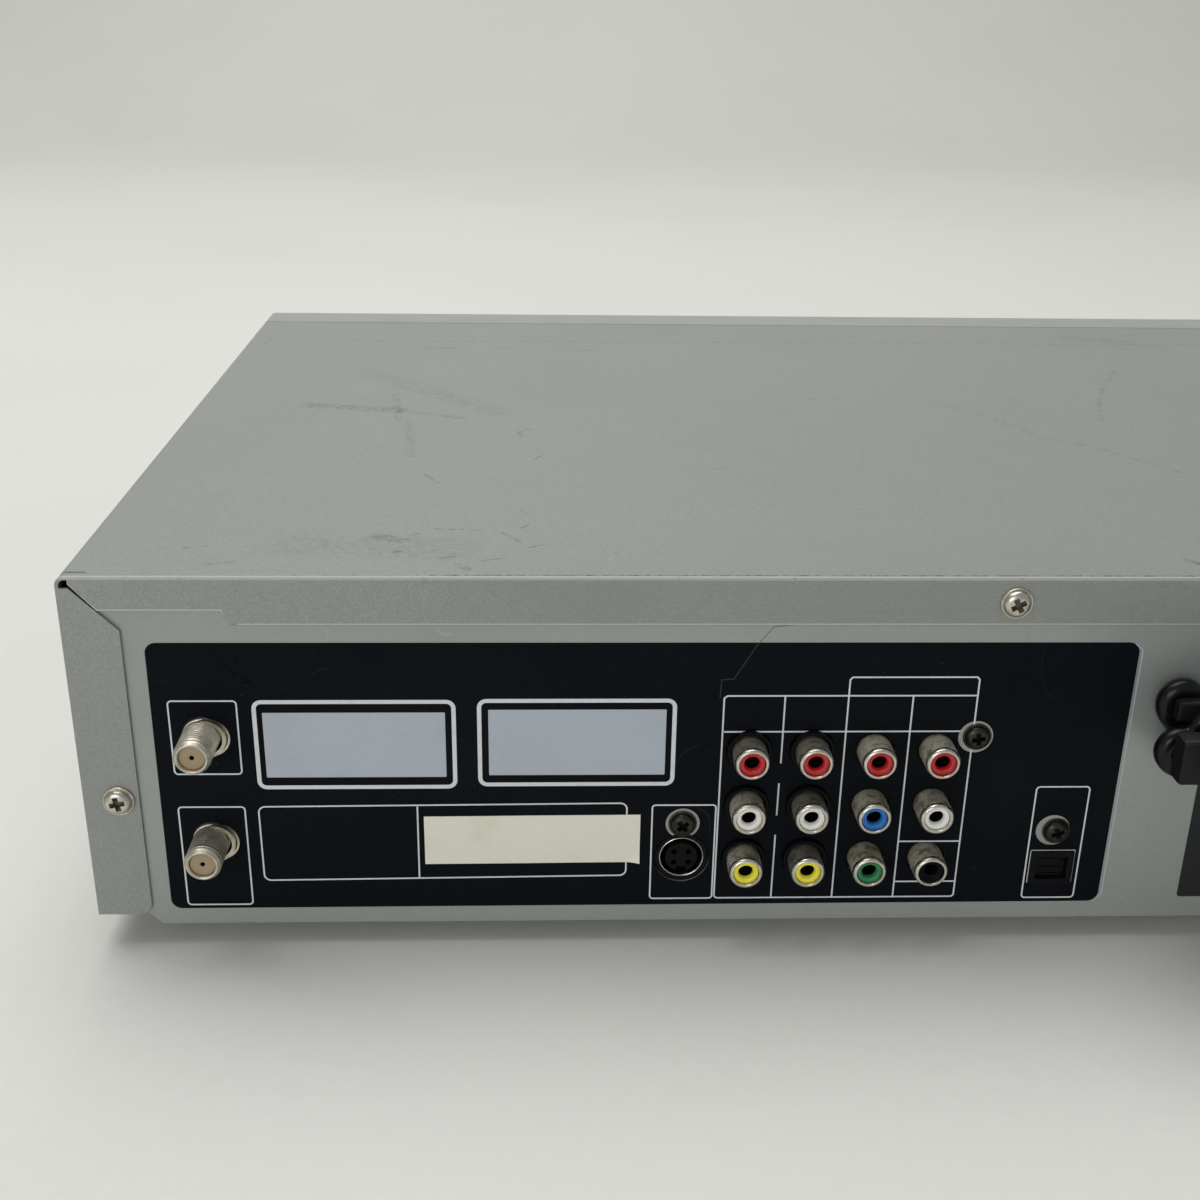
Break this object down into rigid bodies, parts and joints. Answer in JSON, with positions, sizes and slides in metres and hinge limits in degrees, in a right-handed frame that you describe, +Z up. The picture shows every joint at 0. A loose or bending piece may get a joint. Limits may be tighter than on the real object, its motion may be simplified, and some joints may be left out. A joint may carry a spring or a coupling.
{
  "type": "video cassette recorder",
  "caption": "Combined disc player and video cassette recorder in a flat metal case, with a disc tray, a cassette slot, a tied mains cord and a rear panel of connectors.",
  "frame": {"origin": "on the standing surface, under the middle of the case with its buttons and aerial connectors", "axes": "+X along the width, to the right for someone facing the front; +Y from the front panel to the rear panel; +Z up"},
  "size_m": [0.43, 0.329, 0.0975],
  "materials": {
    "cover": "satin",
    "panel": "satin",
    "sheet": "plain",
    "front": "satin",
    "window": "gloss",
    "feet": "matte",
    "nickel": "plated",
    "dark_screws": "blackened",
    "keys": "satin",
    "boards": "matte",
    "supply": "matte",
    "black_plastic": "satin",
    "red": "gloss",
    "white": "gloss",
    "yellow": "gloss",
    "blue": "gloss",
    "green": "gloss",
    "tan": "satin",
    "drum": "polished",
    "steel": "ground",
    "roller": "matte",
    "guides": "polished",
    "tray": "satin",
    "gear": "satin",
    "cord": "satin"
  },
  "bodies": {
    "case": {"top_cover": "cover", "rear_panel": "panel", "base_plate": "sheet", "deck_plate": "sheet", "tuner_can": "sheet", "tape_heads": "sheet", "front_bezel": "front", "display_window": "window", "feet": "feet", "cover_screws": "nickel", "jack_shells": "nickel", "rf_connectors": "nickel", "panel_screws": "dark_screws", "key_board": "boards", "main_board": "boards", "power_supply": "supply", "jack_housings": "black_plastic", "svideo_socket": "black_plastic", "optical_socket": "black_plastic", "loader_frame": "black_plastic", "red_jack_inserts": "red", "white_jack_inserts": "white", "yellow_jack_inserts": "yellow", "blue_jack_inserts": "blue", "green_jack_inserts": "green", "rf_insulators": "tan", "lower_drum": "drum", "drive_motors": "steel", "tray_belt": "roller", "strain_relief": "cord", "mains_lead": "cord", "mains_hank": "cord", "mains_plug": "cord"},
    "door": {"cassette_door": "front"},
    "tray": {"disc_tray": "tray", "tray_front": "front"},
    "gear": {"tray_gear": "gear"},
    "pulley": {"motor_pulley": "gear"},
    "traverse": {"traverse_frame": "black_plastic"},
    "turntable": {"turntable": "black_plastic"},
    "sled": {"pickup_sled": "drum"},
    "screw": {"lead_screw": "steel"},
    "puck": {"clamp_puck": "tray"},
    "sliders": {"holder_sliders": "sheet"},
    "holder": {"cassette_holder": "sheet"},
    "drum": {"head_drum": "drum"},
    "capstan": {"capstan": "steel"},
    "pinch_arm": {"pinch_arm": "sheet"},
    "pinch_roller": {"pinch_roller": "roller"},
    "supply_reel": {"supply_reel": "black_plastic"},
    "takeup_reel": {"takeup_reel": "black_plastic"},
    "entry_guide": {"entry_guide": "guides"},
    "exit_guide": {"exit_guide": "guides"},
    "shutter": {"optical_shutter": "black_plastic"},
    "power_button": {"power_button": "keys"},
    "tape_eject_button": {"tape_eject_button": "keys"},
    "disc_eject_button": {"disc_eject_button": "keys"},
    "stop_button": {"stop_button": "keys"},
    "play_button": {"play_button": "keys"},
    "record_button": {"record_button": "keys"}
  },
  "joints": [
    {"name": "door_hinge", "type": "hinge", "parent": "case", "child": "door", "pos_m": [-0.1062, -0.14145, 0.0866], "axis": [1, 0, 0], "range_deg": [0, 88], "stiffness_Nm_per_rad": 0.003, "springref_deg": -28.65},
    {"name": "tray_slide", "type": "slide", "parent": "case", "child": "tray", "axis": [0, -1, 0], "range_m": [0, 0.14]},
    {"name": "tray_gear_turn", "type": "hinge", "parent": "case", "child": "gear", "pos_m": [0.0703, -0.11175, 0.0608], "axis": [0, 0, 1], "range_deg": [-2, 918.73]},
    {"name": "motor_pulley_turn", "type": "hinge", "parent": "case", "child": "pulley", "pos_m": [0.1485, -0.11175, 0.0574], "axis": [0, 0, 1], "range_deg": [-5, 2854.3]},
    {"name": "traverse_tilt", "type": "hinge", "parent": "case", "child": "traverse", "pos_m": [0.1185, 0.03525, 0.05625], "axis": [1, 0, 0], "range_deg": [0, 4.5]},
    {"name": "turntable_spin", "type": "hinge", "parent": "traverse", "child": "turntable", "pos_m": [0.1185, -0.04975, 0.0692], "axis": [0, 0, 1], "continuous": true},
    {"name": "sled_slide", "type": "slide", "parent": "traverse", "child": "sled", "axis": [0, 1, 0], "range_m": [0, 0.034]},
    {"name": "lead_screw_turn", "type": "hinge", "parent": "traverse", "child": "screw", "pos_m": [0.1405, -0.03775, 0.0601], "axis": [0, 1, 0], "range_deg": [-5, 4085]},
    {"name": "puck_spin", "type": "hinge", "parent": "case", "child": "puck", "pos_m": [0.1185, -0.04975, 0.08], "axis": [0, 0, 1], "continuous": true},
    {"name": "holder_travel", "type": "slide", "parent": "case", "child": "sliders", "axis": [0, 1, 0], "range_m": [0, 0.038]},
    {"name": "holder_drop", "type": "slide", "parent": "sliders", "child": "holder", "axis": [0, 0, -1], "range_m": [0, 0.018]},
    {"name": "drum_spin", "type": "hinge", "parent": "case", "child": "drum", "pos_m": [-0.1062, 0.05825, 0.0382], "axis": [0, 0, 1], "continuous": true},
    {"name": "capstan_spin", "type": "hinge", "parent": "case", "child": "capstan", "pos_m": [-0.0442, 0.03325, 0.0212], "axis": [0, 0, 1], "continuous": true},
    {"name": "pinch_swing", "type": "hinge", "parent": "case", "child": "pinch_arm", "pos_m": [-0.0222, 0.04725, 0.0215], "axis": [0, 0, 1], "range_deg": [0, 14]},
    {"name": "pinch_roller_spin", "type": "hinge", "parent": "pinch_arm", "child": "pinch_roller", "pos_m": [-0.04339, 0.04537, 0.02555], "axis": [0, 0, 1], "continuous": true},
    {"name": "supply_reel_spin", "type": "hinge", "parent": "case", "child": "supply_reel", "pos_m": [-0.1522, -0.01775, 0.0212], "axis": [0, 0, 1], "continuous": true},
    {"name": "takeup_reel_spin", "type": "hinge", "parent": "case", "child": "takeup_reel", "pos_m": [-0.0602, -0.01775, 0.0212], "axis": [0, 0, 1], "continuous": true},
    {"name": "entry_guide_run", "type": "slide", "parent": "case", "child": "entry_guide", "axis": [-0.3162, 0.9487, 0], "range_m": [0, 0.03162]},
    {"name": "exit_guide_run", "type": "slide", "parent": "case", "child": "exit_guide", "axis": [0.3162, 0.9487, 0], "range_m": [0, 0.03162]},
    {"name": "shutter_hinge", "type": "hinge", "parent": "case", "child": "shutter", "pos_m": [-0.0173, 0.13505, 0.0231], "axis": [-1, 0, 0], "range_deg": [0, 80]},
    {"name": "power_press", "type": "slide", "parent": "case", "child": "power_button", "axis": [0, 1, 0], "range_m": [0, 0.001], "stiffness_N_per_m": 300, "springref_m": -0.0005},
    {"name": "tape_eject_press", "type": "slide", "parent": "case", "child": "tape_eject_button", "axis": [0, 1, 0], "range_m": [0, 0.001], "stiffness_N_per_m": 300, "springref_m": -0.0005},
    {"name": "disc_eject_press", "type": "slide", "parent": "case", "child": "disc_eject_button", "axis": [0, 1, 0], "range_m": [0, 0.001], "stiffness_N_per_m": 300, "springref_m": -0.0005},
    {"name": "stop_press", "type": "slide", "parent": "case", "child": "stop_button", "axis": [0, 1, 0], "range_m": [0, 0.001], "stiffness_N_per_m": 300, "springref_m": -0.0005},
    {"name": "play_press", "type": "slide", "parent": "case", "child": "play_button", "axis": [0, 1, 0], "range_m": [0, 0.001], "stiffness_N_per_m": 300, "springref_m": -0.0005},
    {"name": "record_press", "type": "slide", "parent": "case", "child": "record_button", "axis": [0, 1, 0], "range_m": [0, 0.001], "stiffness_N_per_m": 300, "springref_m": -0.0005}
  ],
  "couplings": [
    {"joint": "tray_gear_turn", "follows": "tray_slide", "rad_per_m": 114.29},
    {"joint": "motor_pulley_turn", "follows": "tray_slide", "rad_per_m": 355.21},
    {"joint": "lead_screw_turn", "follows": "sled_slide", "rad_per_m": 2094.4},
    {"joint": "exit_guide_run", "follows": "entry_guide_run", "ratio": 1}
  ]
}
